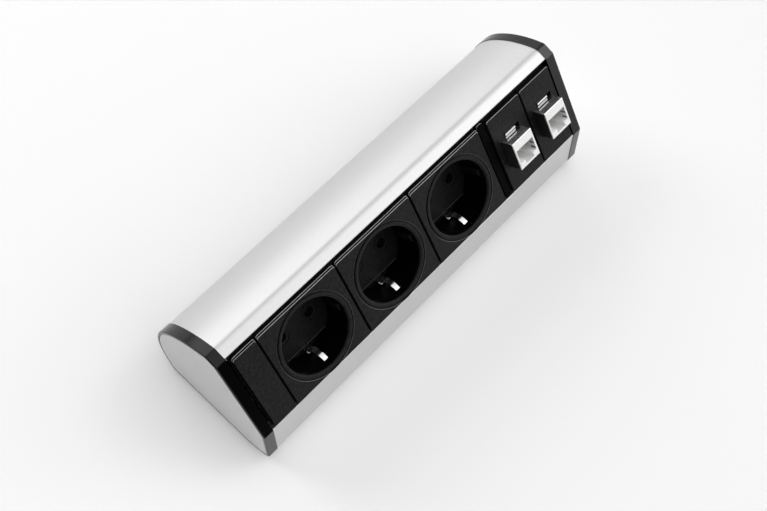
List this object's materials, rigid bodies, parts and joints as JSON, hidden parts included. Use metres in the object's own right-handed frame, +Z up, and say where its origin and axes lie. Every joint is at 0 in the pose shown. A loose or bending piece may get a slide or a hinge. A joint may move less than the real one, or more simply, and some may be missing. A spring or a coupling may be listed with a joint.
{
  "type": "desk socket",
  "caption": "Desk-top power strip: an aluminium profile with black earthed sockets and data jacks in its sloping face, closed by black end caps.",
  "frame": {"origin": "bottom centre of the bounding box: on the desk, under the middle of the profile", "axes": "+X along the profile towards the data jacks, +Y to the back, +Z up; the sockets face -Y and up, at 50 degrees to the desk"},
  "size_m": [0.2406, 0.0774, 0.0725],
  "materials": {
    "anodised_aluminium": "satin anodised",
    "cap_black": "satin black",
    "plate_grey": "satin light grey",
    "module_black": "fine textured black",
    "base_black": "moulded dark grey",
    "shutter_black": "moulded black",
    "terminal_grey": "moulded grey",
    "spring_strip": "nickel-plated",
    "brass": "bare",
    "steel": "zinc-plated",
    "jack_metal": "tinned sheet",
    "jack_black": "moulded black",
    "gold_wire": "gold-plated",
    "bush_black": "satin rubber"
  },
  "bodies": {
    "housing": {"aluminium_profile": "anodised_aluminium", "blank_module": "module_black", "cord_clamp": "cap_black", "cord_clamp_screws": "steel", "cord_grommet": "bush_black", "data_grommet": "bush_black", "data_holder_1": "module_black", "data_holder_2": "module_black", "divider_strip": "module_black", "earth_bar": "brass", "earth_clip_1": "spring_strip", "earth_clip_2": "spring_strip", "earth_clip_3": "spring_strip", "earth_rivets": "brass", "end_cap_left": "cap_black", "end_cap_right": "cap_black", "end_cap_screws": "steel", "end_plate_left": "plate_grey", "end_plate_right": "plate_grey", "jack_body_1": "jack_black", "jack_body_2": "jack_black", "jack_contacts_1": "gold_wire", "jack_contacts_2": "gold_wire", "jack_latch_1": "jack_metal", "jack_latch_2": "jack_metal", "jack_rear_1": "jack_black", "jack_rear_2": "jack_black", "jack_shell_1": "jack_metal", "jack_shell_2": "jack_metal", "live_bar": "brass", "live_contact_1": "brass", "live_contact_2": "brass", "live_contact_3": "brass", "neutral_bar": "brass", "neutral_contact_1": "brass", "neutral_contact_2": "brass", "neutral_contact_3": "brass", "shutter_spring_1": "steel", "shutter_spring_2": "steel", "shutter_spring_3": "steel", "socket_base_1": "base_black", "socket_base_2": "base_black", "socket_base_3": "base_black", "socket_front_1": "module_black", "socket_front_2": "module_black", "socket_front_3": "module_black", "socket_screws": "steel", "terminal_block": "terminal_grey", "terminal_screws": "steel"},
    "shutter_1": {"shutter_1": "shutter_black"},
    "shutter_2": {"shutter_2": "shutter_black"},
    "shutter_3": {"shutter_3": "shutter_black"}
  },
  "joints": [
    {"name": "shutter_turn_1", "type": "hinge", "parent": "housing", "child": "shutter_1", "pos_m": [-0.0713, -0.00199, 0.03562], "axis": [0, -0.766, 0.6428], "range_deg": [0, 42], "stiffness_Nm_per_rad": 0.009, "springref_deg": -8.59, "deforming": ["shutter_spring_1"]},
    {"name": "shutter_turn_2", "type": "hinge", "parent": "housing", "child": "shutter_2", "pos_m": [-0.0193, -0.00199, 0.03562], "axis": [0, -0.766, 0.6428], "range_deg": [0, 42], "stiffness_Nm_per_rad": 0.009, "springref_deg": -8.59, "deforming": ["shutter_spring_2"]},
    {"name": "shutter_turn_3", "type": "hinge", "parent": "housing", "child": "shutter_3", "pos_m": [0.0327, -0.00199, 0.03562], "axis": [0, -0.766, 0.6428], "range_deg": [0, 42], "stiffness_Nm_per_rad": 0.009, "springref_deg": -8.59, "deforming": ["shutter_spring_3"]}
  ]
}
